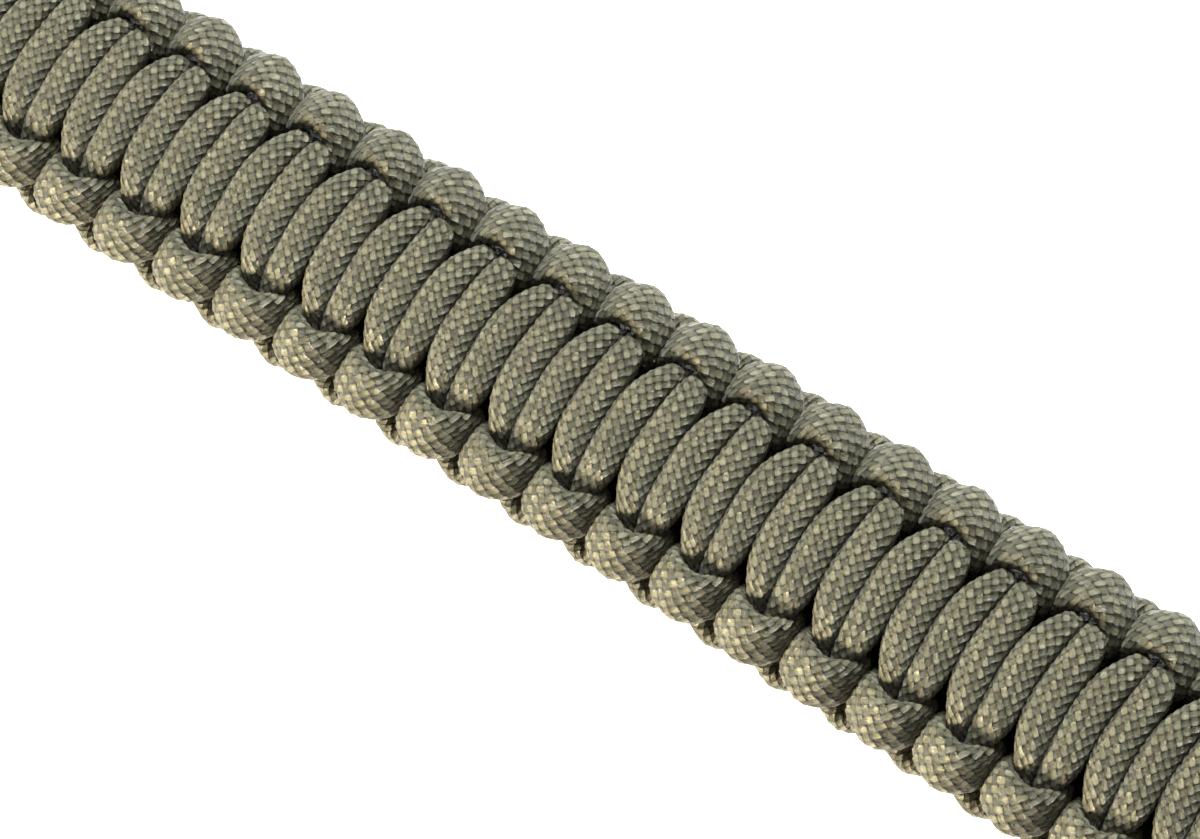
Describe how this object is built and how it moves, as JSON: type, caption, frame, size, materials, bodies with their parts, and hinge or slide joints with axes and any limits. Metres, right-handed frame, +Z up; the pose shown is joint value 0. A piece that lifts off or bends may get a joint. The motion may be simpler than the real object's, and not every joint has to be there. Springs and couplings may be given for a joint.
{
  "type": "paracord bracelet",
  "caption": "Flat knotted cord bracelet in olive-grey cobra weave over two core strands, unfastened and lying straight, with a side-release clasp half at each end.",
  "frame": {"origin": "middle of the part's outline, on the surface that the back of the weave rests on", "axes": "+X along the band towards the clasp's plug, +Y across the band, +Z up out of the face"},
  "size_m": [0.258, 0.0264, 0.0112],
  "materials": {
    "paracord": "braided nylon sheath, olive grey, slightly glossy threads",
    "clasp": "moulded black-olive plastic, fine matte grain"
  },
  "bodies": {
    "root": {"core_cord": "paracord", "front_cord": "paracord", "back_cord": "paracord", "clasp_socket": "clasp", "clasp_plug": "clasp"}
  },
  "joints": []
}
